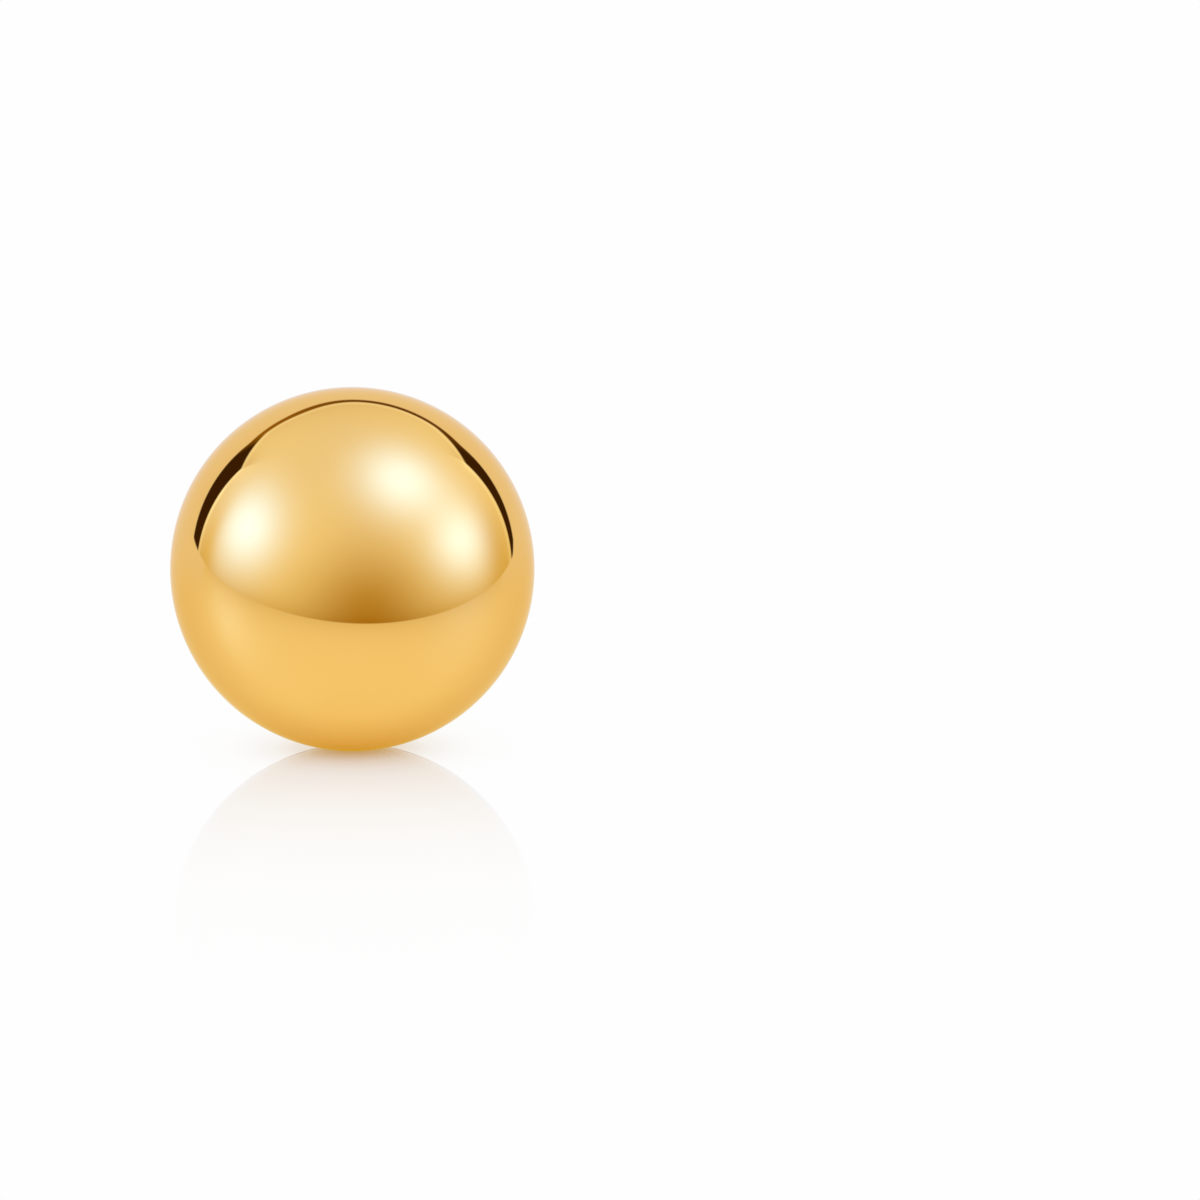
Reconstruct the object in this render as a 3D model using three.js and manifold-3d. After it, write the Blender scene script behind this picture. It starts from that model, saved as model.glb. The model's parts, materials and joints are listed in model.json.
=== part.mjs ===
// Ball stud earring with its butterfly back, lying on a table as it rests by itself.
// Millimetres, +Z up. The ball faces -Y and the post runs back along +Y, dropping to the table.
// The origin is on the table, at the centre of the earring's footprint.
import * as THREE from "three";
import { mergeVertices } from "three/addons/utils/BufferGeometryUtils.js";
import Module from "manifold-3d";

// Ball and post
const BALL_DIAMETER = 8.0;
const POST_DIAMETER = 0.9;
const SOLDER_FILLET = 0.35; // radius of the solder where the post meets the ball
const POST_PAST_BACK = 2.5; // how far the tip stands out behind the butterfly back
const TIP_TAPER = 0.7; // length of the rounded nose
const TIP_FLAT = 0.16; // radius left blunt at the very end of the nose
const GROOVE_FROM_TIP = 1.5; // middle of the safety groove
const GROOVE_WIDTH = 0.6;
const GROOVE_DEPTH = 0.1;

// Room left for the ear lobe, from the back of the ball to the plate
const LOBE_ROOM = 5.0;

// Butterfly back, bent from one strip of sheet
const SHEET = 0.3;
const PLATE_HEIGHT = 4.4;
const PLATE_FLAT = 1.9; // straight stretch of the plate's upper and lower edges
const STRIP_HEIGHT = 3.2; // height of the strip where it is curled
const SCROLL_DIAMETER = 2.5;
const SCROLL_END = 400; // degrees round the scroll, from the outer side, where the strip ends
const COIL_GAP = 0.12; // between the strip's inner coil and what it passes
const GRIP_CLEARANCE = 0.04; // between each scroll and the post
const HOLE_CLEARANCE = 0.08; // round the post, in the plate
const DIMPLE_DEPTH = 0.2; // how far the plate is pressed back round the hole
const DIMPLE_FLARE = 0.35; // how much wider the dimple's mouth is than the hole

// Smoothness of the faceted solids
const BALL_SIDES = 48;
const BALL_RINGS = 28;
const ARC_STEP = 12; // degrees for each facet of a scroll
const FINE_STEPS = 5; // facets of a fillet, groove or nose
const HOLE_SIDES = 24;

// Worked out from the sizes above
const ballRadius = BALL_DIAMETER / 2;
const postRadius = POST_DIAMETER / 2;
const scrollRadius = SCROLL_DIAMETER / 2;
const plateAt = ballRadius + LOBE_ROOM; // along the post, from the ball's centre
const backEndAt = plateAt + SCROLL_DIAMETER;
const tipAt = backEndAt + POST_PAST_BACK;
const scrollCentreX = postRadius + GRIP_CLEARANCE + scrollRadius;
const holeRadius = postRadius + HOLE_CLEARANCE;

const radians = THREE.MathUtils.degToRad;
const point = (x, y) => new THREE.Vector2(x, y);

// The points of an arc about a centre, both ends included, with the angles in radians.
function arc(centre, radiusX, radiusY, from, to, steps) {
  const points = [];
  for (let i = 0; i <= steps; i++) {
    const angle = from + ((to - from) * i) / steps;
    points.push(point(centre.x + radiusX * Math.cos(angle), centre.y + radiusY * Math.sin(angle)));
  }
  return points;
}

// Drops a point that repeats the one before it.
function withoutRepeats(points) {
  return points.filter((p, i) => i === 0 || p.distanceTo(points[i - 1]) > 1e-6);
}

// Half outline of the ball, its solder fillet and the post, from the front of the ball to the tip.
function ballAndPostOutline() {
  const front = -Math.PI / 2;
  const filletX = postRadius + SOLDER_FILLET;
  const filletY = Math.sqrt((ballRadius + SOLDER_FILLET) ** 2 - filletX ** 2);
  const solderStart = Math.atan2(filletY, filletX);
  const ball = arc(point(0, 0), ballRadius, ballRadius, front, solderStart, BALL_RINGS);
  ball[0].x = 0;

  const filletFrom = solderStart + Math.PI;
  const fillet = arc(point(filletX, filletY), SOLDER_FILLET, SOLDER_FILLET, filletFrom, Math.PI, FINE_STEPS);

  const grooveAt = tipAt - GROOVE_FROM_TIP;
  const groove = arc(point(postRadius, grooveAt), -GROOVE_DEPTH, -GROOVE_WIDTH / 2, Math.PI / 2, front, FINE_STEPS);

  const noseRadius = postRadius - TIP_FLAT;
  const nose = arc(point(TIP_FLAT, tipAt - TIP_TAPER), noseRadius, TIP_TAPER, 0, Math.PI / 2, FINE_STEPS);

  return withoutRepeats([...ball, ...fillet, ...groove, ...nose, point(0, tipAt)]);
}

// Radius of the strip's middle line at an angle round the scroll, in degrees from the outer side.
// It keeps the full radius past the post, then steps inside the coil that it meets.
function stripRadius(angle) {
  const outerCoil = scrollRadius - SHEET / 2;
  const share = THREE.MathUtils.clamp((angle - 180) / 90, 0, 1);
  return outerCoil - ((SHEET + COIL_GAP) * (1 - Math.cos(Math.PI * share))) / 2;
}

// One side of the strip round a scroll, from the plate to the strip's end. Offset is from its middle line.
function scrollSide(offset) {
  const from = -90;
  const steps = Math.round((SCROLL_END - from) / ARC_STEP);
  const points = [];
  for (let i = 0; i <= steps; i++) {
    const angle = from + ((SCROLL_END - from) * i) / steps;
    const radius = stripRadius(angle) + offset;
    const turn = radians(angle);
    points.push(point(scrollCentreX + radius * Math.cos(turn), scrollRadius + radius * Math.sin(turn)));
  }
  return points;
}

// The bent strip seen along its scrolls: plate in front, a scroll on each side of the post.
function stripOutline() {
  const outer = scrollSide(SHEET / 2);
  const inner = scrollSide(-SHEET / 2);
  const mirrored = (points) => points.map((p) => point(-p.x, p.y));
  return new THREE.Shape([
    ...outer,
    ...inner.toReversed(),
    ...mirrored(inner),
    ...mirrored(outer).toReversed(),
  ]);
}

// The plate seen from the front, taller than the strip, with waisted shoulders where the strip leaves it.
function plateOutline() {
  const tall = PLATE_HEIGHT / 2;
  const low = STRIP_HEIGHT / 2;
  const flat = PLATE_FLAT / 2;
  const side = scrollCentreX;
  const middle = (flat + side) / 2;
  const shape = new THREE.Shape();
  shape.moveTo(-flat, -tall);
  shape.lineTo(flat, -tall);
  shape.bezierCurveTo(middle, -tall, middle, -low, side, -low);
  shape.lineTo(side, low);
  shape.bezierCurveTo(middle, low, middle, tall, flat, tall);
  shape.lineTo(-flat, tall);
  shape.bezierCurveTo(-middle, tall, -middle, low, -side, low);
  shape.lineTo(-side, -low);
  shape.bezierCurveTo(-middle, -low, -middle, -tall, -flat, -tall);
  return shape;
}

// A closed outline turned about the post's axis.
function turned(points, sides) {
  return new THREE.LatheGeometry(points, sides);
}

function extruded(shape, depth) {
  return new THREE.ExtrudeGeometry(shape, { depth, bevelEnabled: false, curveSegments: 8 });
}

const wasm = await Module();
wasm.setup();

// A closed geometry as a solid that can be joined and cut.
function solid(geometry) {
  const bare = geometry.index ? geometry.toNonIndexed() : geometry.clone();
  bare.deleteAttribute("normal");
  bare.deleteAttribute("uv");
  const merged = mergeVertices(bare, 1e-5);
  return new wasm.Manifold(
    new wasm.Mesh({
      numProp: 3,
      vertProperties: merged.attributes.position.array,
      triVerts: new Uint32Array(merged.index.array),
    }),
  );
}

// A solid back as a geometry with flat faces.
function geometryOf(made) {
  const mesh = made.getMesh();
  const geometry = new THREE.BufferGeometry();
  geometry.setAttribute("position", new THREE.BufferAttribute(mesh.vertProperties, 3));
  geometry.setIndex(new THREE.BufferAttribute(mesh.triVerts, 1));
  const faceted = geometry.toNonIndexed();
  faceted.computeVertexNormals();
  return faceted;
}

function polishedGold() {
  return new THREE.MeshStandardMaterial({ color: 0xf6c670, roughness: 0.06, metalness: 1 });
}

// The ball with its post soldered into the back: one body, turned about the post's axis.
function ballAndPost() {
  const mesh = new THREE.Mesh(turned(ballAndPostOutline(), BALL_SIDES), polishedGold());
  mesh.name = "ball_and_post";
  return mesh;
}

// The butterfly back, with the front of its plate at y = 0 and the post's hole on the y axis.
function butterflyBack() {
  const strip = extruded(stripOutline(), STRIP_HEIGHT).translate(0, 0, -STRIP_HEIGHT / 2);
  const plate = extruded(plateOutline(), SHEET).rotateX(Math.PI / 2).translate(0, SHEET, 0);

  const lip = SHEET + DIMPLE_DEPTH; // back of the pressed dimple
  const lipRadius = holeRadius + SHEET / 2;
  const mouthRadius = holeRadius + DIMPLE_FLARE;
  const dimple = turned(
    [point(0, SHEET / 2), point(mouthRadius + SHEET / 2, SHEET / 2), point(lipRadius, lip), point(0, lip)],
    HOLE_SIDES,
  );
  const hole = turned(
    [
      point(0, -SHEET),
      point(mouthRadius + DIMPLE_FLARE, -SHEET),
      point(mouthRadius, 0),
      point(holeRadius, SHEET),
      point(holeRadius, lip + SHEET),
      point(0, lip + SHEET),
    ],
    HOLE_SIDES,
  );

  const made = solid(strip).add(solid(plate)).add(solid(dimple)).subtract(solid(hole));
  const mesh = new THREE.Mesh(geometryOf(made), polishedGold());
  mesh.name = "butterfly_back";
  mesh.position.y = plateAt;
  return mesh;
}

// How far the post drops below level when a corner this far back and this far below the axis
// touches the table that the ball stands on.
function dropTo(alongPost, belowAxis) {
  const reach = Math.hypot(alongPost, belowAxis);
  return Math.asin(ballRadius / reach) - Math.atan2(belowAxis, alongPost);
}

// The earring comes to rest on the first of these that reaches the table.
const drop = Math.min(
  dropTo(plateAt + SHEET, PLATE_HEIGHT / 2),
  dropTo(backEndAt, STRIP_HEIGHT / 2),
  dropTo(tipAt, TIP_FLAT),
);

const earring = new THREE.Group();
const tipY = tipAt * Math.cos(drop) + TIP_FLAT * Math.sin(drop);
earring.position.set(0, (ballRadius - tipY) / 2, ballRadius);
earring.rotation.x = -drop;
earring.add(ballAndPost(), butterflyBack());

const part = new THREE.Group();
part.add(earring);

export default part;
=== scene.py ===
import json
import math

import bmesh
import bpy
from mathutils import Matrix, Vector


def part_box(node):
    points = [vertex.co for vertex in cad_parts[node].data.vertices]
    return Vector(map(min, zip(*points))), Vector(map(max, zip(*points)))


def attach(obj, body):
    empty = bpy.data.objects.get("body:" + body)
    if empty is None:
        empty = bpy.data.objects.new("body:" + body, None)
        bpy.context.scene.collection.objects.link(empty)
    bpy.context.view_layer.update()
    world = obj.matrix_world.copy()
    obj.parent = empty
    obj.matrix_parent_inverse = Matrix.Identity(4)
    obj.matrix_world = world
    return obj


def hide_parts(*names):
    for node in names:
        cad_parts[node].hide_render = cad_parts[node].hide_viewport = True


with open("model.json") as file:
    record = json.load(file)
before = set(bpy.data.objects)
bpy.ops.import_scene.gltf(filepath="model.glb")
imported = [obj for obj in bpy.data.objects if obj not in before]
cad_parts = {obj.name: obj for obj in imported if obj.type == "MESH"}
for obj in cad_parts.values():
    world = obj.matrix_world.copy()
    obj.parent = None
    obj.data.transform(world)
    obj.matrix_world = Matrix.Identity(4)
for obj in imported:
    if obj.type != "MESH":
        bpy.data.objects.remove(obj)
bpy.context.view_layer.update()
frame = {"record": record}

# Lengths are metres. A size in millimetres is written as so many MM.
MM = 0.001

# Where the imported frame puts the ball, the post's axis and the front of the back's plate
BALL_LOW, BALL_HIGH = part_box("ball_and_post")
BALL_RADIUS = BALL_HIGH.z / 2
BALL_CENTRE = Vector((0, BALL_LOW.y + BALL_RADIUS, BALL_RADIUS))
LOBE_SEAT = frame["record"]["mounts"][0]
POST_AXIS = -Vector(LOBE_SEAT["axis"]).normalized()
POST_DROP = math.asin(-POST_AXIS.z)
PLATE_AT = (Vector(LOBE_SEAT["pos_m"]) - BALL_CENTRE).dot(POST_AXIS)

# Ball and post
POST_RADIUS = 0.45 * MM
SOLDER_FILLET = 0.35 * MM
TIP_AT = PLATE_AT + 4.997 * MM
TIP_TAPER = 0.7 * MM
TIP_FLAT = 0.16 * MM
GROOVE_FROM_TIP = 1.5 * MM
GROOVE_WIDTH = 0.6 * MM
GROOVE_DEPTH = 0.1 * MM
TURNED_EDGE = 0.03 * MM  # rounding of the groove's edges and the tip
TURNED_CREASE = 25  # degrees past which an edge of the turned piece is rounded
BALL_RINGS = 150
BALL_SIDES = 224
FINE_STEPS = 12

# Butterfly back
SHEET = 0.3 * MM
PLATE_TALL = 2.2 * MM  # half the plate's height
PLATE_FLAT = 0.95 * MM  # half the straight stretch of its upper and lower edges
STRIP_TALL = 1.6 * MM  # half the height of the strip where it is curled
SCROLL_RADIUS = 1.25 * MM
SCROLL_GRIP = 0.04 * MM  # between each scroll and the post
SCROLL_SIDE = POST_RADIUS + SCROLL_GRIP + SCROLL_RADIUS  # from the post's axis to a scroll's middle
COIL_STEP = 0.42 * MM  # how far the inner coil lies inside the outer one
COIL_END = math.radians(130)  # how far the inner coil runs on past the plate
HOLE_RADIUS = 0.53 * MM
DIMPLE_MOUTH = 0.88 * MM
DIMPLE_LIP = 0.5 * MM  # how far behind the plate's front the dimple ends
LIP_WIDTH = 0.15 * MM
CUT_EDGE = 0.045 * MM  # rounding of the sheet's cut edges
CUT_CREASE = 50  # degrees past which an edge of the sheet is rounded
SIDE_ROWS = 12
TOP_ROWS = 24
FRONT_RINGS = 3
FRONT_STEP = 0.55  # each ring over the front keeps this share of its way to the dimple
REAR_RINGS = 4
LIP_STEPS = 6
LIP_FOOT_STEPS = 5
CURL_STEP = math.radians(5)

SAME_CORNER = 1e-7  # corners closer than this are one corner
EDGE_STEPS = 3  # facets of a rounded edge
NEARLY_WHOLE = 0.99  # a face or place that comes this close counts as there

# The photograph's frame and where the ball stands in it, in pixels
PHOTO_SIDE = 1200
PHOTO_BALL = (352.5, 569.0)
PHOTO_BALL_ACROSS = 364.0
LENS = 200.0
SENSOR = 36.0
SEEN_FROM = 0.005
SEEN_TO = 10.0
CAMERA_ABOVE = math.radians(10)

# Yellow gold plate: what it reflects face on, how much it pales toward the rim, and its deeper tone
GOLD = (0.922, 0.565, 0.156)
GOLD_RIM = (0.975, 0.89, 0.69)
DEEP_GOLD = (0.914, 0.553, 0.147)
SOLDER_GOLD = (0.93, 0.61, 0.22)
SOLDER_MIDDLE = 0.05 * MM  # how far behind the ball the solder is palest
SOLDER_SPREAD = 0.16 * MM
POST_BEGINS = 0.1 * MM  # how far behind the ball the post's drawn finish begins

# Scale and detail of the drifting tone, and the noise levels between which it turns
BALL_TONE = 420.0
BACK_TONE = 900.0
TONE_DETAIL = 3.0
TONE_SPAN = (0.25, 0.75)

# Fine lines: scale, how the noise is drawn out, depth, and the noise levels between which a line shows
POST_LINES = 16000.0
POST_LINES_DRAWN = (1.0, 0.12, 1.0)
POST_LINES_DEPTH = 0.0006 * MM
BACK_LINES = 14000.0
BACK_LINES_DRAWN = (0.1, 0.1, 1.0)
BACK_LINES_DEPTH = 0.0008 * MM
BACK_LINES_STRENGTH = 0.8
LINE_DETAIL = 2.0
LINE_SPAN = (0.56, 0.66)

# What a finish starts from, and what the deeper tone, the lines or the post adds to it
BALL_ROUGHNESS = (0.022, 0.01)
POST_ROUGHNESS = (0.1, 0.06)
BACK_ROUGHNESS = (0.1, 0.05)
BACK_LINES_ROUGHNESS = 0.05
BALL_LINES_STRENGTH = (0.02, 0.9)

# Cloth of the light tent, its change toward the top, and the least light that comes from it
CLOTH = (1.10, 1.177, 1.167)
CLOTH_TOWARD_TOP = (-0.177, -0.191, 0.056)
CLOTH_LEAST = (0.02, 0.01, 0.002)

# Soft patches on the cloth: azimuth, elevation, spread across and up in degrees, and the light added
CLOTH_LIGHTS = {
    "left lamp": (-79.0, 23.5, 23.9, 21.0, (0.157, 0.84, 4.357)),
    "overhead lamp": (61.7, 59.2, 24.8, 22.6, (0.228, 0.852, 4.027)),
    "right lamp": (77.8, 16.3, 22.8, 17.8, (0.202, 0.769, 3.576)),
    "shade on the camera's side": (9.5, -94.4, 52.8, 70.1, (-3.665, -5.39, -7.565)),
    "light thrown back by the paper": (9.1, -41.7, 46.0, 29.8, (0.85, 1.386, 2.332)),
    "right corner": (105.4, 7.7, 15.1, 17.1, (-0.148, -0.283, -0.678)),
    "left corner": (-105.4, 13.3, 7.6, 15.8, (-0.059, -0.208, -0.908)),
}

# The tent's rear opening on a wall one unit behind the earring. A leaning edge is given by where it
# stands at the earring's height and how much farther right it stands for each unit up.
REARWARD = (0.02, 0.04)  # a direction meets the wall when it points this far to the rear
TENT_LEFT_EDGE = (-2.03, 0.33)
TENT_RIGHT_EDGE = (1.64, -0.37)
TENT_TOP = 0.792
TENT_TOP_RISE = 0.135
TENT_TOP_RISE_SPAN = (-0.05, 0.42)  # from here to here leftward the top edge rises
TENT_RIGHT_CORNER = (0.57, 0.32)  # farther right than the first, the top climbs by the second
TENT_LEFT_CORNER = (0.68, 0.42)
HEM_INSIDE = 0.05  # the bright hem all round the opening
HEM_WIDTH = 0.04
SIDE_HEM_SPREAD = 2.8  # how many times as wide the hem is on the wall along the sides
HEM_LIGHT = (0.10, 0.18, 0.38)
SEAM_INSIDE = 0.13  # the soft bright seam along its left side
SEAM_WIDTH = 0.13
SEAM_LIGHT = (0.12, 0.22, 0.42)
SEAM_FOOT = (0.0, 0.9)  # it gains strength between these heights
SEAM_HEAD = (1.15, 0.95)  # and loses it between these

# Where a side panel of the tent meets its roof, the cloth folds: azimuth and elevation of the
# opening's corner and of a point farther along the fold
LEFT_FOLD = ((-120.5, 36.6), (-114.7, 46.1))
RIGHT_FOLD = ((128.7, 32.0), (124.2, 46.4))
FOLD_REACH = 6.5
FOLD_SOFTNESS = 0.012
FOLD_SHADE = (-0.11, -0.18, -0.33)
FOLD_LIGHT = (0.05, 0.09, 0.19)

# The backdrop on the same wall, drawn in at its foot
BACKDROP_LEFT_EDGE = (-1.52, 0.95)
BACKDROP_LEFT_FOOT = (0.12, 1.9)  # lower than the first, the edge moves in by the second
BACKDROP_RIGHT_EDGE = (1.36, -0.88)
BACKDROP_RIGHT_FOOT = (0.06, 1.2)
BACKDROP_TOP = 0.69
BACKDROP_TOP_RISE = 0.10
BACKDROP_TOP_RISE_SPAN = (-0.02, 0.45)
BACKDROP = (0.90, 0.91, 1.05)
SIDE_SOFTNESS = 0.05
TOP_SOFTNESS = 0.03

# The dark room between tent and backdrop, and its amber light over the backdrop
ROOM = (0.045, 0.02, 0.002)
ROOM_TOP_LEFT = (0.31, 0.16, 0.0)
ROOM_TOP_RIGHT = (0.13, 0.055, 0.0)
ROOM_TOP_TURN = (-0.6, 0.3)  # from here to here the left light turns into the right one
ROOM_TOP_SPAN = (0.95, 0.65)  # how far to each side the light reaches

# The paper: where its far edge meets the tent, its colours and the soft shade along that edge
PAPER_EDGE = -8.0
PAPER_EDGE_AHEAD = -16.3
PAPER_EDGE_ASIDE = -3.06
PAPER = (1.0, 1.0, 0.97)
PAPER_BEHIND = (0.905, 0.85, 0.74)
PAPER_BEHIND_SPAN = (0.0, 0.75)  # how far to the rear a direction points where the colour turns
PAPER_SWEEP = (0.28, 0.32)  # the same where the paper goes on under the opening
PAPER_TO_BACKDROP = (-16, 2)  # elevations between which the paper's sweep turns into the backdrop
PAPER_EDGE_SOFTNESS = 0.5
PAPER_EDGE_REACH = 9.0
PAPER_EDGE_SHADE = (-0.17, -0.21, -0.27)
PAPER_LIGHTS = {
    "left": (-90, -22, 17, 17, (0.06, 0.17, 0.52)),
    "right": (78, -15, 20, 25, (0.02, 0.07, 0.33)),
}
PAPER_BEHIND_LIGHTS = {
    "gold thrown on the paper by the ball": (183, -28, 28, 15, (-0.01, -0.05, -0.26)),
}

# The floor as the camera sees it, and the shade where the earring touches it
FLOOR_WHITE = 0.991
FLOOR_SIZE = 3.0
FLOOR_ASIDE = (1.0, 0, 0)
SHADE_REACH = 6.0 * MM
SHADE_SAMPLES = 8
SHADE_SPAN = (6.5 * MM, 13.0 * MM)  # no shade falls farther across and along than this
SHADE_FADE = (1.0, 0.9)  # shares of that span between which the shade sets in
SHADE_POWER = 6.0
SHADE_SEEN = (-0.40, -0.62, -0.88)
NEAR_SHADE_POWER = 5.0
NEAR_SHADE_MIRRORED = (-0.23, -0.37, -0.40)
WIDE_SHADE_POWER = 2.8
WIDE_SHADE_MIRRORED = (-0.03, -0.17, -0.65)
SHEEN = 0.36
SHEEN_REACH = 7.0 * MM
SHEEN_FALLOFF = 1.4
SHEEN_TINT = (0.78, 0.82, 1.0)
OPPOSITE_WHITE = tuple(FLOOR_WHITE / tint for tint in SHEEN_TINT)
SCREEN_ROOM = 0.1 * MM
SCREEN_LIFT = 0.003 * MM  # it doesn't touch the floor


def arc(centre, radii, start, end, steps):
    """Points of an arc or a stretch of an ellipse, in the plane of an outline. Angles in degrees."""
    points = []
    for i in range(steps + 1):
        angle = math.radians(start + (end - start) * i / steps)
        points.append((centre[0] + radii[0] * math.cos(angle), centre[1] + radii[1] * math.sin(angle)))
    return points


def finished(bm, name, material):
    """The bmesh as an object in the row's frame, smooth, with its place in its mesh."""
    bm.transform(Matrix.Translation(BALL_CENTRE) @ Matrix.Rotation(-POST_DROP, 4, "X"))
    mesh = bpy.data.meshes.new(name)
    bm.to_mesh(mesh)
    bm.free()
    mesh.shade_smooth()
    mesh.materials.append(material)
    piece = bpy.data.objects.new(name, mesh)
    bpy.context.scene.collection.objects.link(piece)
    return piece


def cleaned(bm):
    """Closes seams and poles and turns every face outward."""
    bmesh.ops.remove_doubles(bm, verts=bm.verts, dist=SAME_CORNER)
    bmesh.ops.recalc_face_normals(bm, faces=bm.faces)


def creases(bm, least):
    """The edges whose faces meet at more than an angle in degrees."""
    return [e for e in bm.edges if len(e.link_faces) == 2 and e.calc_face_angle() > math.radians(least)]


def rounded(bm, edges, width):
    """Rounds edges, each this wide on both sides."""
    bmesh.ops.bevel(
        bm,
        geom=edges,
        offset=width,
        segments=EDGE_STEPS,
        profile=0.5,
        affect="EDGES",
        material=-1,
        clamp_overlap=True,
    )


def ball_and_post_outline():
    """Half the section from the front of the ball to the tip of the post: (from the axis, along it)."""
    corner_x = POST_RADIUS + SOLDER_FILLET
    corner_y = math.sqrt((BALL_RADIUS + SOLDER_FILLET) ** 2 - corner_x**2)
    solder_at = math.degrees(math.atan2(corner_y, corner_x))
    ball = arc((0, 0), (BALL_RADIUS, BALL_RADIUS), -90, solder_at, BALL_RINGS)
    ball[0] = (0, -BALL_RADIUS)
    fillet = arc((corner_x, corner_y), (SOLDER_FILLET, SOLDER_FILLET), solder_at + 180, 180, FINE_STEPS)
    groove_at = TIP_AT - GROOVE_FROM_TIP
    groove = arc((POST_RADIUS, groove_at), (-GROOVE_DEPTH, -GROOVE_WIDTH / 2), 90, -90, FINE_STEPS)
    nose = arc((TIP_FLAT, TIP_AT - TIP_TAPER), (POST_RADIUS - TIP_FLAT, TIP_TAPER), 0, 90, FINE_STEPS)
    return ball + fillet[1:] + groove + nose + [(0, TIP_AT)]


def ball_and_post(material):
    """The outline turned about the post's axis."""
    bm = bmesh.new()
    corners = [bm.verts.new((x, y, 0)) for x, y in ball_and_post_outline()]
    for first, second in zip(corners, corners[1:]):
        bm.edges.new((first, second))
    bmesh.ops.spin(
        bm,
        geom=bm.verts[:] + bm.edges[:],
        cent=(0, 0, 0),
        axis=(0, 1, 0),
        angle=math.tau,
        steps=BALL_SIDES,
        use_merge=True,
    )
    cleaned(bm)
    rounded(bm, creases(bm, TURNED_CREASE), TURNED_EDGE)
    cleaned(bm)
    return finished(bm, "ball_and_post_polished", material)


def plate_outline():
    """The plate's outline from the front, anticlockwise from the lower right corner: (across, up)."""
    flat_steps = TOP_ROWS // 3
    shoulder_steps = (TOP_ROWS - flat_steps) // 2
    right_side = [(SCROLL_SIDE, -STRIP_TALL + 2 * STRIP_TALL * i / SIDE_ROWS) for i in range(SIDE_ROWS)]
    shoulder = []
    for i in range(shoulder_steps):
        t = i / shoulder_steps
        across = SCROLL_SIDE + (PLATE_FLAT - SCROLL_SIDE) * t
        up = STRIP_TALL + (PLATE_TALL - STRIP_TALL) * (3 - 2 * t) * t * t
        shoulder.append((across, up))
    flat = [(PLATE_FLAT - 2 * PLATE_FLAT * i / flat_steps, PLATE_TALL) for i in range(flat_steps + 1)]
    falling = [(-x, y) for x, y in shoulder[:0:-1]]
    half = right_side + shoulder + flat + falling
    return half + [(-x, -y) for x, y in half]


def next_ring(bm, edges, move):
    """Extrudes a loop of edges. Move is given how far a corner was from the axis and its angle round
    it, and says how far from the axis and how far along it the new corner lies."""
    grown = bmesh.ops.extrude_edge_only(bm, edges=edges)["geom"]
    for corner in (g for g in grown if isinstance(g, bmesh.types.BMVert)):
        angle = math.atan2(corner.co.z, corner.co.x)
        reach, along = move(math.hypot(corner.co.x, corner.co.z), angle)
        corner.co = (reach * math.cos(angle), along, reach * math.sin(angle))
    return [g for g in grown if isinstance(g, bmesh.types.BMEdge)]


def pressed_plate(bm):
    """The front plate with its dimpled hole, as one closed ring of sheet."""
    outline = plate_outline()
    front = bmesh.ops.create_circle(bm, segments=len(outline), radius=PLATE_TALL)["verts"]
    full = {}
    for corner, (across, up) in zip(front, outline):
        corner.co = (across, 0, up)
        full[math.atan2(up, across)] = math.hypot(across, up)
    front_edges = bm.edges[:]

    def inward(reach, angle):
        return DIMPLE_MOUTH + (reach - DIMPLE_MOUTH) * FRONT_STEP, 0

    def outward(reach, angle, share):
        nearest = min(full, key=lambda known: abs(known - angle))
        return foot + (full[nearest] - foot) * share, SHEET

    # Inwards over the front, through the dimple and out again over the back
    edges = front_edges
    for _ in range(FRONT_RINGS):
        edges = next_ring(bm, edges, inward)
    lip = LIP_WIDTH / 2
    lip_at = DIMPLE_LIP - lip
    foot = DIMPLE_MOUTH + LIP_WIDTH
    foot_fall = (foot - HOLE_RADIUS - LIP_WIDTH, lip_at - SHEET)
    pressed = arc((DIMPLE_MOUTH, SHEET), (DIMPLE_MOUTH - HOLE_RADIUS, SHEET), -90, -180, LIP_STEPS)
    pressed += arc((HOLE_RADIUS + lip, lip_at), (lip, lip), 180, 0, LIP_STEPS)
    pressed += arc((foot, lip_at), foot_fall, 180, 270, LIP_FOOT_STEPS)[1:]
    for place in pressed:
        edges = next_ring(bm, edges, lambda reach, angle, place=place: place)
    for i in range(1, REAR_RINGS + 1):
        share = i / REAR_RINGS
        edges = next_ring(bm, edges, lambda reach, angle, share=share: outward(reach, angle, share))
    bmesh.ops.bridge_loops(bm, edges=front_edges + edges)
    cleaned(bm)


def curled(bm, section, centre, turn, angle):
    """Carries the strip's end faces round an upright axis and gives back the new end faces. The old
    ones lie inside the strip then, so they go."""
    made = bmesh.ops.spin(
        bm,
        geom=section,
        cent=centre,
        axis=(0, 0, turn),
        angle=angle,
        steps=max(2, round(angle / CURL_STEP)),
    )
    bmesh.ops.delete(bm, geom=section, context="FACES")
    return [g for g in made["geom_last"] if isinstance(g, bmesh.types.BMFace)]


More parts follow.
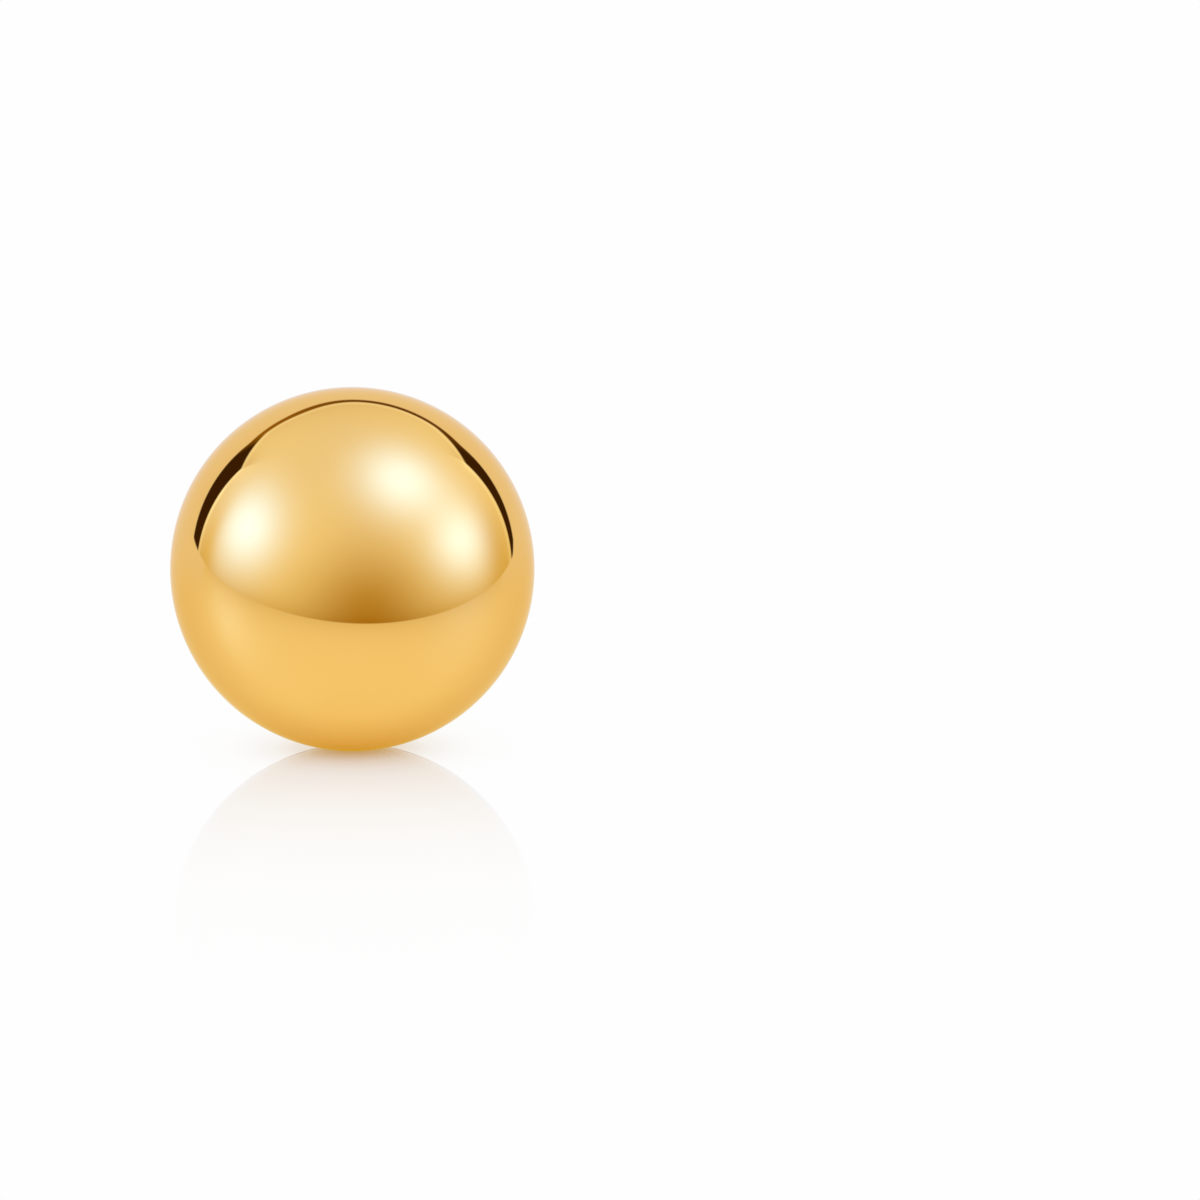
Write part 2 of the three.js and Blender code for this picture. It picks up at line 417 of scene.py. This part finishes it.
def scroll(bm, hand):
    """Curls the strip on one side of the plate: round to the post, then inside its own outer coil."""
    outermost = SCROLL_SIDE * NEARLY_WHOLE
    section = [f for f in bm.faces if f.normal.x * hand > NEARLY_WHOLE]
    section = [f for f in section if f.calc_center_median().x * hand > outermost]
    centre = Vector((hand * SCROLL_SIDE, SCROLL_RADIUS, 0))
    inward = Vector((hand * COIL_STEP, 0, 0))
    section = curled(bm, section, centre, hand, math.radians(270))
    section = curled(bm, section, centre - inward, hand, math.radians(90))
    moved = bmesh.ops.extrude_face_region(bm, geom=section)["geom"]
    bmesh.ops.translate(bm, verts=[g for g in moved if isinstance(g, bmesh.types.BMVert)], vec=inward)
    bmesh.ops.delete(bm, geom=section, context="FACES")
    section = [g for g in moved if isinstance(g, bmesh.types.BMFace)]
    curled(bm, section, centre, hand, COIL_END)


def butterfly_back(material):
    """The plate with a scroll curled from each of its ends."""
    bm = bmesh.new()
    pressed_plate(bm)
    scroll(bm, 1)
    scroll(bm, -1)
    cleaned(bm)
    rounded(bm, creases(bm, CUT_CREASE), CUT_EDGE)
    bmesh.ops.translate(bm, verts=bm.verts, vec=(0, PLATE_AT, 0))
    piece = finished(bm, "butterfly_back_stamped", material)
    weighted = piece.modifiers.new("flat_faces_stay_flat", "WEIGHTED_NORMAL")
    weighted.keep_sharp = True
    return piece


class Wiring:
    """Short calls for adding linked nodes to a tree."""

    def __init__(self, tree):
        self.tree = tree

    def add(self, kind, **settings):
        """A node of this kind with its settings."""
        node = self.tree.nodes.new(kind)
        for key, value in settings.items():
            setattr(node, key, value)
        return node

    def feed(self, socket, value):
        """Links a socket's output to this one, or sets a plain value on it."""
        if isinstance(value, bpy.types.NodeSocket):
            self.tree.links.new(value, socket)
        else:
            socket.default_value = value

    def math(self, operation, *values):
        node = self.add("ShaderNodeMath", operation=operation)
        for socket, value in zip(node.inputs, values):
            self.feed(socket, value)
        return node.outputs[0]

    def vector(self, operation, *values):
        node = self.add("ShaderNodeVectorMath", operation=operation)
        for socket, value in zip(node.inputs, values):
            self.feed(socket, value)
        return node.outputs["Value" if operation in ("DOT_PRODUCT", "LENGTH") else "Vector"]

    def product(self, first, *others):
        for other in others:
            first = self.math("MULTIPLY", first, other)
        return first

    def line(self, value, start, slope):
        """start where the value is 0, and slope more for each unit of it."""
        return self.math("MULTIPLY_ADD", value, slope, start)

    def past(self, value, start):
        """How far the value has gone above start, and 0 below it."""
        return self.math("MAXIMUM", self.math("SUBTRACT", value, start), 0.0)

    def ramp(self, value, start, end):
        """0 before start and 1 after end, with a smooth step between. Start may be the larger."""
        node = self.add("ShaderNodeMapRange", interpolation_type="SMOOTHSTEP")
        self.feed(node.inputs["Value"], value)
        low, high = (0, 1) if start < end else (1, 0)
        node.inputs["From Min"].default_value = min(start, end)
        node.inputs["From Max"].default_value = max(start, end)
        node.inputs["To Min"].default_value = low
        node.inputs["To Max"].default_value = high
        return node.outputs["Result"]

    def edge(self, value, softness):
        """0 outside and 1 inside an edge that lies where the value is 0."""
        return self.ramp(value, -softness, softness)

    def bell(self, value, middle, width):
        """1 where the value is at the middle, falling off as a bell curve on both sides."""
        away = self.math("DIVIDE", self.math("SUBTRACT", value, middle), width)
        return self.math("EXPONENT", self.product(away, away, -1.0))

    def blend(self, factor, first, second):
        """The first colour where the factor is 0 and the second where it is 1. No plain colour that it
        is given may be below 0."""
        node = self.add("ShaderNodeMix", data_type="RGBA")
        self.feed(node.inputs["Factor"], factor)
        for socket, colour in ((node.inputs[6], first), (node.inputs[7], second)):
            self.feed(socket, colour if isinstance(colour, bpy.types.NodeSocket) else (*colour, 1))
        return node.outputs[2]

    def noise(self, place, scale, detail):
        node = self.add("ShaderNodeTexNoise")
        self.feed(node.inputs["Vector"], place)
        self.feed(node.inputs["Scale"], scale)
        node.inputs["Detail"].default_value = detail
        return node.outputs["Fac"]

    def group(self, tree, **values):
        """Places a group with its own values and gives its outputs by name."""
        node = self.add("ShaderNodeGroup", node_tree=tree)
        for key, value in values.items():
            self.feed(node.inputs[key.replace("_", " ")], value)
        return node.outputs

    def mix_shaders(self, factor, first, second):
        node = self.add("ShaderNodeMixShader")
        for socket, value in zip(node.inputs, (factor, first, second)):
            self.feed(socket, value)
        return node.outputs[0]


def new_group(name, inputs, outputs):
    """An empty shader group: the group, its wiring, what it is given and what it puts out."""
    group = bpy.data.node_groups.new(name, "ShaderNodeTree")
    for label, kind, default in inputs:
        socket = group.interface.new_socket(label, in_out="INPUT", socket_type="NodeSocket" + kind)
        if default is not None:
            socket.default_value = default
    for label, kind in outputs:
        group.interface.new_socket(label, in_out="OUTPUT", socket_type="NodeSocket" + kind)
    wires = Wiring(group)
    return group, wires, wires.add("NodeGroupInput").outputs, wires.add("NodeGroupOutput").inputs


# The studio. The earring lies on white paper inside a cloth tent with soft lights behind the cloth.
# The tent is open at the rear, and a white backdrop hangs a little way behind the opening, so the
# dark room shows between the two. The polished metal mirrors all of it.


def heading(azimuth, elevation):
    """Unit vector of a direction. Azimuth 0 is toward the camera, 90 to the right."""
    a, e = math.radians(azimuth), math.radians(elevation)
    return Vector((math.sin(a) * math.cos(e), -math.cos(a) * math.cos(e), math.sin(e)))


def soft_patch_group():
    """How strongly a soft patch of light shows in a direction: 1 at its centre, fading as a bell curve."""
    group, wires, given, out = new_group(
        "soft_patch",
        [
            ("Direction", "Vector", None),
            ("Toward", "Vector", None),
            ("Across", "Vector", None),
            ("Width", "Float", 0.4),
            ("Height", "Float", 0.4),
        ],
        [("Glow", "Float")],
    )
    upward = wires.vector("CROSS_PRODUCT", given["Across"], given["Toward"])
    across = wires.vector("DOT_PRODUCT", given["Direction"], given["Across"])
    up = wires.vector("DOT_PRODUCT", given["Direction"], upward)
    turned = wires.math("ARCCOSINE", wires.vector("DOT_PRODUCT", given["Direction"], given["Toward"]))
    aside = wires.math("SQRT", wires.math("ADD", wires.product(across, across), wires.product(up, up)))
    stretch = wires.math("DIVIDE", turned, wires.math("MAXIMUM", aside, 1e-5))
    wide = wires.math("DIVIDE", wires.product(across, stretch), given["Width"])
    high = wires.math("DIVIDE", wires.product(up, stretch), given["Height"])
    falloff = wires.math("ADD", wires.product(wide, wide), wires.product(high, high))
    wires.feed(out["Glow"], wires.math("EXPONENT", wires.product(falloff, -1.0)))
    return group


def lit(wires, colour, direction, patch_group, lights):
    """A colour with soft patches of light or of shade added to it."""
    for azimuth, elevation, width, height, light in lights.values():
        patch = wires.group(
            patch_group,
            Direction=direction,
            Toward=heading(azimuth, elevation),
            Across=heading(azimuth + 90, 0),
            Width=math.radians(width),
            Height=math.radians(height),
        )
        colour = wires.vector("MULTIPLY_ADD", patch["Glow"], light, colour)
    return colour


def tent_opening(wires, across, up):
    """1 where the tent's rear opening is seen on the wall, and the light on the cloth along its edge."""
    leftward = wires.product(across, -1.0)
    left = wires.math("SUBTRACT", across, wires.line(up, *TENT_LEFT_EDGE))
    right = wires.math("SUBTRACT", wires.line(up, *TENT_RIGHT_EDGE), across)
    top = wires.line(wires.ramp(leftward, *TENT_TOP_RISE_SPAN), TENT_TOP, TENT_TOP_RISE)
    for aside, (corner, climb) in ((across, TENT_RIGHT_CORNER), (leftward, TENT_LEFT_CORNER)):
        top = wires.math("MULTIPLY_ADD", wires.past(aside, corner), climb, top)
    sides = wires.math("MINIMUM", left, right)
    roof = wires.math("SUBTRACT", top, up)
    seen = wires.product(wires.edge(sides, SIDE_SOFTNESS), wires.edge(roof, TOP_SOFTNESS))
    inside = wires.math("MINIMUM", wires.product(sides, 1 / SIDE_HEM_SPREAD), roof)
    hem = wires.bell(inside, -HEM_INSIDE, HEM_WIDTH)
    seam = wires.product(
        wires.bell(left, -SEAM_INSIDE, SEAM_WIDTH),
        wires.ramp(up, *SEAM_FOOT),
        wires.ramp(up, *SEAM_HEAD),
    )
    light = wires.vector("MULTIPLY_ADD", hem, HEM_LIGHT, (0, 0, 0))
    return seen, wires.vector("MULTIPLY_ADD", seam, SEAM_LIGHT, light)


def folded(wires, cloth, direction, patch_group, fold, hand):
    """The cloth with a fold that runs from the opening's corner, lighter on the lamp's side."""
    corner, farther = (heading(*point) for point in fold)
    lampward = (corner.cross(farther) * hand).normalized()
    patch = wires.group(
        patch_group,
        Direction=direction,
        Toward=corner,
        Across=heading(fold[0][0] + 90, 0),
        Width=math.radians(FOLD_REACH),
        Height=math.radians(FOLD_REACH),
    )
    lamp_side = wires.edge(wires.vector("DOT_PRODUCT", direction, lampward), FOLD_SOFTNESS)
    light = wires.product(patch["Glow"], lamp_side)
    shade = wires.math("SUBTRACT", patch["Glow"], light)
    cloth = wires.vector("MULTIPLY_ADD", shade, FOLD_SHADE, cloth)
    return wires.vector("MULTIPLY_ADD", light, FOLD_LIGHT, cloth)


def backdrop_seen(wires, across, up):
    """1 where the backdrop covers the wall."""
    downward = wires.product(up, -1.0)
    left = wires.math("SUBTRACT", across, wires.line(up, *BACKDROP_LEFT_EDGE))
    right = wires.math("SUBTRACT", wires.line(up, *BACKDROP_RIGHT_EDGE), across)
    foot, drawn_in = BACKDROP_LEFT_FOOT
    left = wires.math("MULTIPLY_ADD", wires.past(downward, -foot), drawn_in, left)
    foot, drawn_in = BACKDROP_RIGHT_FOOT
    right = wires.math("MULTIPLY_ADD", wires.past(downward, -foot), drawn_in, right)
    rise = wires.ramp(wires.product(across, -1.0), *BACKDROP_TOP_RISE_SPAN)
    top = wires.line(rise, BACKDROP_TOP, BACKDROP_TOP_RISE)
    sides = wires.edge(wires.math("MINIMUM", left, right), SIDE_SOFTNESS)
    return wires.product(sides, wires.edge(wires.math("SUBTRACT", top, up), TOP_SOFTNESS))


def paper_far_edge(wires, azimuth):
    """Elevation at which the paper's far edge meets the tent, in degrees."""
    turn = wires.math("RADIANS", azimuth)
    ahead = wires.line(wires.math("COSINE", turn), PAPER_EDGE, PAPER_EDGE_AHEAD)
    return wires.math("MULTIPLY_ADD", wires.math("SINE", turn), PAPER_EDGE_ASIDE, ahead)


def mirrored_studio(wires, direction):
    """What the polished metal mirrors in a direction."""
    parts = wires.add("ShaderNodeSeparateXYZ")
    wires.feed(parts.inputs[0], direction)
    x, y, z = parts.outputs
    azimuth = wires.math("DEGREES", wires.math("ARCTAN2", x, wires.product(y, -1.0)))
    elevation = wires.math("DEGREES", wires.math("ARCSINE", z))
    rearward = wires.ramp(y, *REARWARD)
    depth = wires.math("MAXIMUM", y, REARWARD[0])
    across = wires.math("DIVIDE", x, depth)
    up = wires.math("DIVIDE", z, depth)
    patch_group = soft_patch_group()

    # Paper below, which fades into the backdrop behind it
    below = wires.math("SUBTRACT", paper_far_edge(wires, azimuth), elevation)
    paper = lit(wires, PAPER, direction, patch_group, PAPER_LIGHTS)
    fade = wires.math("EXPONENT", wires.product(wires.past(below, 0.0), -1.0 / PAPER_EDGE_REACH))
    paper = wires.vector("MULTIPLY_ADD", fade, PAPER_EDGE_SHADE, paper)
    far_paper = lit(wires, PAPER_BEHIND, direction, patch_group, PAPER_BEHIND_LIGHTS)
    paper = wires.blend(wires.ramp(y, *PAPER_BEHIND_SPAN), paper, far_paper)
    behind = wires.blend(wires.ramp(elevation, *PAPER_TO_BACKDROP), paper, BACKDROP)

    # The room between the tent and the backdrop
    amber = wires.blend(wires.ramp(across, *ROOM_TOP_TURN), ROOM_TOP_LEFT, ROOM_TOP_RIGHT)
    over = wires.ramp(wires.math("ABSOLUTE", across), *ROOM_TOP_SPAN)
    room = wires.blend(over, ROOM, amber)
    seen_behind = wires.blend(backdrop_seen(wires, across, up), room, behind)

    # The tent's cloth, with its folds and the hem of its opening
    cloth = wires.vector("MULTIPLY_ADD", z, CLOTH_TOWARD_TOP, CLOTH)
    cloth = lit(wires, cloth, direction, patch_group, CLOTH_LIGHTS)
    cloth = wires.vector("MAXIMUM", cloth, CLOTH_LEAST)
    cloth = folded(wires, cloth, direction, patch_group, LEFT_FOLD, -1)
    cloth = folded(wires, cloth, direction, patch_group, RIGHT_FOLD, 1)
    opening, edge_light = tent_opening(wires, across, up)
    cloth = wires.vector("MULTIPLY_ADD", rearward, edge_light, cloth)

    colour = wires.blend(wires.product(opening, rearward), cloth, seen_behind)
    on_paper = wires.edge(below, PAPER_EDGE_SOFTNESS)
    low = wires.blend(wires.ramp(y, *PAPER_SWEEP), paper, behind)
    return wires.blend(on_paper, colour, low)


def build_studio():
    """The metal mirrors the tent, and the camera sees plain white round the floor. The floor's sheen
    is tinted, so it mirrors a white of the opposite tint where it mirrors no metal."""
    world = bpy.data.worlds.new("light_tent")
    bpy.context.scene.world = world
    world.use_nodes = True
    world.node_tree.nodes.clear()
    world.cycles.sampling_method = "NONE"
    wires = Wiring(world.node_tree)
    direction = wires.add("ShaderNodeTexCoord").outputs["Generated"]
    ray = wires.add("ShaderNodeLightPath").outputs
    colour = mirrored_studio(wires, direction)
    colour = wires.blend(ray["Is Singular Ray"], colour, OPPOSITE_WHITE)
    colour = wires.blend(ray["Is Camera Ray"], colour, (FLOOR_WHITE, FLOOR_WHITE, FLOOR_WHITE))
    background = wires.add("ShaderNodeBackground")
    wires.feed(background.inputs["Color"], colour)
    output = wires.add("ShaderNodeOutputWorld")
    wires.feed(output.inputs["Surface"], background.outputs[0])


def floor_paper():
    """Evenly lit white paper, shaded where the earring touches it, with a faint sheen round the
    earring. The metal sees it as clear but for the shade, and mirrors the studio's own paper."""
    material = bpy.data.materials.new("floor_paper")
    material.use_nodes = True
    material.node_tree.nodes.clear()
    wires = Wiring(material.node_tree)
    place = wires.add("ShaderNodeTexCoord").outputs["Object"]
    from_ball = wires.vector("LENGTH", wires.vector("SUBTRACT", place, (0, BALL_CENTRE.y, 0)))
    ray = wires.add("ShaderNodeLightPath").outputs

    open_sky = wires.add("ShaderNodeAmbientOcclusion", samples=SHADE_SAMPLES)
    open_sky.inputs["Distance"].default_value = SHADE_REACH
    covered = wires.math("SUBTRACT", 1.0, open_sky.outputs["AO"])

    def shaded(colour, power, shade):
        return wires.vector("MULTIPLY_ADD", wires.math("POWER", covered, power), shade, colour)

    across, along = (1 / span for span in SHADE_SPAN)
    near = wires.vector("LENGTH", wires.vector("MULTIPLY", place, (across, along, 0)))
    near = wires.ramp(near, *SHADE_FADE)
    white = (FLOOR_WHITE, FLOOR_WHITE, FLOOR_WHITE)
    far_paper = wires.add("ShaderNodeEmission")
    far_paper.inputs["Color"].default_value = (*white, 1)
    near_paper = wires.add("ShaderNodeEmission")
    wires.feed(near_paper.inputs["Color"], shaded(white, SHADE_POWER, SHADE_SEEN))
    paper = wires.mix_shaders(near, far_paper.outputs[0], near_paper.outputs[0])
    sheen = wires.add("ShaderNodeBsdfGlossy")
    sheen.inputs["Color"].default_value = (*SHEEN_TINT, 1)
    sheen.inputs["Roughness"].default_value = 0
    spread = wires.math("POWER", wires.math("DIVIDE", from_ball, SHEEN_REACH), SHEEN_FALLOFF)
    strength = wires.product(wires.math("EXPONENT", wires.product(spread, -1.0)), SHEEN)
    seen = wires.mix_shaders(strength, paper, sheen.outputs[0])

    clear = wires.add("ShaderNodeBsdfTransparent")
    dimmed = wires.add("ShaderNodeBsdfTransparent")
    near_shade = shaded((1, 1, 1), NEAR_SHADE_POWER, NEAR_SHADE_MIRRORED)
    wires.feed(dimmed.inputs["Color"], shaded(near_shade, WIDE_SHADE_POWER, WIDE_SHADE_MIRRORED))
    mirrored = wires.mix_shaders(near, clear.outputs[0], dimmed.outputs[0])
    surface = wires.mix_shaders(ray["Is Camera Ray"], mirrored, seen)
    output = wires.add("ShaderNodeOutputMaterial")
    wires.feed(output.inputs["Surface"], surface)
    return material


def staged(bm, name, material):
    """The bmesh as an object of the studio, which isn't part of the earring."""
    mesh = bpy.data.meshes.new(name)
    bm.to_mesh(mesh)
    bm.free()
    mesh.materials.append(material)
    thing = bpy.data.objects.new(name, mesh)
    bpy.context.scene.collection.objects.link(thing)
    return thing


def build_floor():
    """One wide face, set aside so that its diagonal doesn't pass under the earring."""
    bm = bmesh.new()
    bmesh.ops.create_grid(bm, x_segments=1, y_segments=1, size=FLOOR_SIZE)
    bmesh.ops.translate(bm, verts=bm.verts, vec=FLOOR_ASIDE)
    staged(bm, "studio_floor", floor_paper())


def screen_card():
    """White to the floor's sheen from the ball's side, and clear to everything else."""
    material = bpy.data.materials.new("screen_card")
    material.use_nodes = True
    material.node_tree.nodes.clear()
    wires = Wiring(material.node_tree)
    ray = wires.add("ShaderNodeLightPath").outputs
    from_behind = wires.add("ShaderNodeNewGeometry").outputs["Backfacing"]
    hides = wires.math("SUBTRACT", ray["Is Singular Ray"], from_behind)
    clear = wires.add("ShaderNodeBsdfTransparent")
    white = wires.add("ShaderNodeEmission")
    white.inputs["Color"].default_value = (*OPPOSITE_WHITE, 1)
    surface = wires.mix_shaders(hides, clear.outputs[0], white.outputs[0])
    output = wires.add("ShaderNodeOutputMaterial")
    wires.feed(output.inputs["Surface"], surface)
    return material


def build_screen():
    """An upright card in front of the butterfly back that only the floor's sheen sees, so that from
    the front the sheen mirrors the ball alone, as photographed."""
    low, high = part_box("butterfly_back")
    at = low.y - SCREEN_ROOM
    bm = bmesh.new()
    corners = [
        bm.verts.new((low.x - SCREEN_ROOM, at, SCREEN_LIFT)),
        bm.verts.new((high.x + SCREEN_ROOM, at, SCREEN_LIFT)),
        bm.verts.new((high.x + SCREEN_ROOM, at, high.z)),
        bm.verts.new((low.x - SCREEN_ROOM, at, high.z)),
    ]
    bm.faces.new(corners)
    screen = staged(bm, "screen_card", screen_card())
    screen.visible_camera = False
    screen.visible_diffuse = False
    screen.visible_transmission = False
    screen.visible_shadow = False


def build_camera():
    """Looks down at the ball at the photograph's angle, with the ball where the photograph has it."""
    camera_data = bpy.data.cameras.new("camera")
    camera_data.lens = LENS
    camera_data.sensor_width = SENSOR
    camera_data.clip_start = SEEN_FROM
    camera_data.clip_end = SEEN_TO
    camera = bpy.data.objects.new("camera", camera_data)
    bpy.context.scene.collection.objects.link(camera)
    bpy.context.scene.camera = camera

    sensor_per_pixel = SENSOR / PHOTO_SIDE
    ball_right = (PHOTO_BALL[0] - PHOTO_SIDE / 2) * sensor_per_pixel
    ball_up = (PHOTO_SIDE / 2 - PHOTO_BALL[1]) * sensor_per_pixel
    seen_radius = math.atan(PHOTO_BALL_ACROSS / 2 * sensor_per_pixel / LENS)
    distance = BALL_RADIUS / math.sin(seen_radius)
    reach = math.hypot(LENS, ball_up, ball_right)
    upright_reach = math.hypot(LENS, ball_up)
    pitch = math.asin(reach * math.sin(CAMERA_ABOVE) / upright_reach) + math.atan2(ball_up, LENS)
    forward = LENS * math.cos(pitch) + ball_up * math.sin(pitch)
    turn = math.atan2(ball_right, forward)
    toward_camera = Vector((0, -math.cos(CAMERA_ABOVE), math.sin(CAMERA_ABOVE)))
    camera.location = BALL_CENTRE + toward_camera * distance
    camera.rotation_euler = (math.pi / 2 - pitch, 0, turn)


def plating_group():
    """Gold plate whose tone drifts softly over the surface."""
    group, wires, given, out = new_group(
        "gold_plating",
        [
            ("Place", "Vector", None),
            ("Light Tone", "Color", (*GOLD, 1)),
            ("Deep Tone", "Color", (*DEEP_GOLD, 1)),
            ("Scale", "Float", BALL_TONE),
        ],
        [("Color", "Color"), ("Deep Share", "Float")],
    )
    drift = wires.ramp(wires.noise(given["Place"], given["Scale"], TONE_DETAIL), *TONE_SPAN)
    wires.feed(out["Deep Share"], drift)
    wires.feed(out["Color"], wires.blend(drift, given["Light Tone"], given["Deep Tone"]))
    return group


def hairline_group():
    """Fine lines left by a cloth or a roller: noise drawn out along one direction."""
    group, wires, given, out = new_group(
        "hairlines",
        [
            ("Place", "Vector", None),
            ("Stretch", "Vector", (1.0, 1.0, 1.0)),
            ("Scale", "Float", BACK_LINES),
        ],
        [("Height", "Float"), ("Lines", "Float")],
    )
    drawn = wires.vector("MULTIPLY", given["Place"], given["Stretch"])
    grain = wires.noise(drawn, given["Scale"], LINE_DETAIL)
    wires.feed(out["Height"], grain)
    wires.feed(out["Lines"], wires.ramp(grain, *LINE_SPAN))
    return group


def gold_metal(name):
    """An empty gold material: the material, its wiring, its shader and the place on the surface."""
    material = bpy.data.materials.new(name)
    material.use_nodes = True
    wires = Wiring(material.node_tree)
    shader = material.node_tree.nodes["Principled BSDF"]
    shader.inputs["Metallic"].default_value = 1
    shader.inputs["Specular Tint"].default_value = (*GOLD_RIM, 1)
    place = wires.add("ShaderNodeTexCoord").outputs["Object"]
    return material, wires, shader, place


def ball_gold(plating, hairlines):
    """Mirror polish on the ball, solder a shade paler, and the post only brightly drawn."""
    material, wires, shader, place = gold_metal("ball_gold")
    along = wires.vector("DOT_PRODUCT", wires.vector("SUBTRACT", place, BALL_CENTRE), POST_AXIS)
    on_post = wires.ramp(along, BALL_RADIUS + POST_BEGINS, BALL_RADIUS + SOLDER_FILLET)
    near_solder = wires.bell(along, BALL_RADIUS + SOLDER_MIDDLE, SOLDER_SPREAD)
    plate = wires.group(plating, Place=place, Scale=BALL_TONE)
    lines = wires.group(hairlines, Place=place, Stretch=POST_LINES_DRAWN, Scale=POST_LINES)

    wires.feed(shader.inputs["Base Color"], wires.blend(near_solder, plate["Color"], SOLDER_GOLD))
    polish = wires.line(plate["Deep Share"], *BALL_ROUGHNESS)
    drawn = wires.line(lines["Lines"], *POST_ROUGHNESS)
    roughness = wires.math("ADD", polish, wires.product(on_post, drawn))
    wires.feed(shader.inputs["Roughness"], roughness)
    bump = wires.add("ShaderNodeBump")
    bump.inputs["Distance"].default_value = POST_LINES_DEPTH
    wires.feed(bump.inputs["Strength"], wires.line(on_post, *BALL_LINES_STRENGTH))
    wires.feed(bump.inputs["Height"], lines["Height"])
    wires.feed(shader.inputs["Normal"], bump.outputs[0])
    return material


def back_gold(plating, hairlines):
    """Plated strip, bright but not polished, with the rolling lines that run along the strip."""
    material, wires, shader, place = gold_metal("back_gold")
    plate = wires.group(plating, Place=place, Scale=BACK_TONE)
    lines = wires.group(hairlines, Place=place, Stretch=BACK_LINES_DRAWN, Scale=BACK_LINES)
    wires.feed(shader.inputs["Base Color"], plate["Color"])
    satin = wires.line(plate["Deep Share"], *BACK_ROUGHNESS)
    roughness = wires.line(lines["Lines"], satin, BACK_LINES_ROUGHNESS)
    wires.feed(shader.inputs["Roughness"], roughness)
    bump = wires.add("ShaderNodeBump")
    bump.inputs["Distance"].default_value = BACK_LINES_DEPTH
    bump.inputs["Strength"].default_value = BACK_LINES_STRENGTH
    wires.feed(bump.inputs["Height"], lines["Height"])
    wires.feed(shader.inputs["Normal"], bump.outputs[0])
    return material


bpy.context.scene.view_settings.view_transform = "Standard"
build_studio()
build_floor()
build_screen()
build_camera()

plating = plating_group()
hairlines = hairline_group()

ball = ball_and_post(ball_gold(plating, hairlines))
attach(ball, "root")
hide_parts("ball_and_post")

back = butterfly_back(back_gold(plating, hairlines))
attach(back, "root")
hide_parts("butterfly_back")
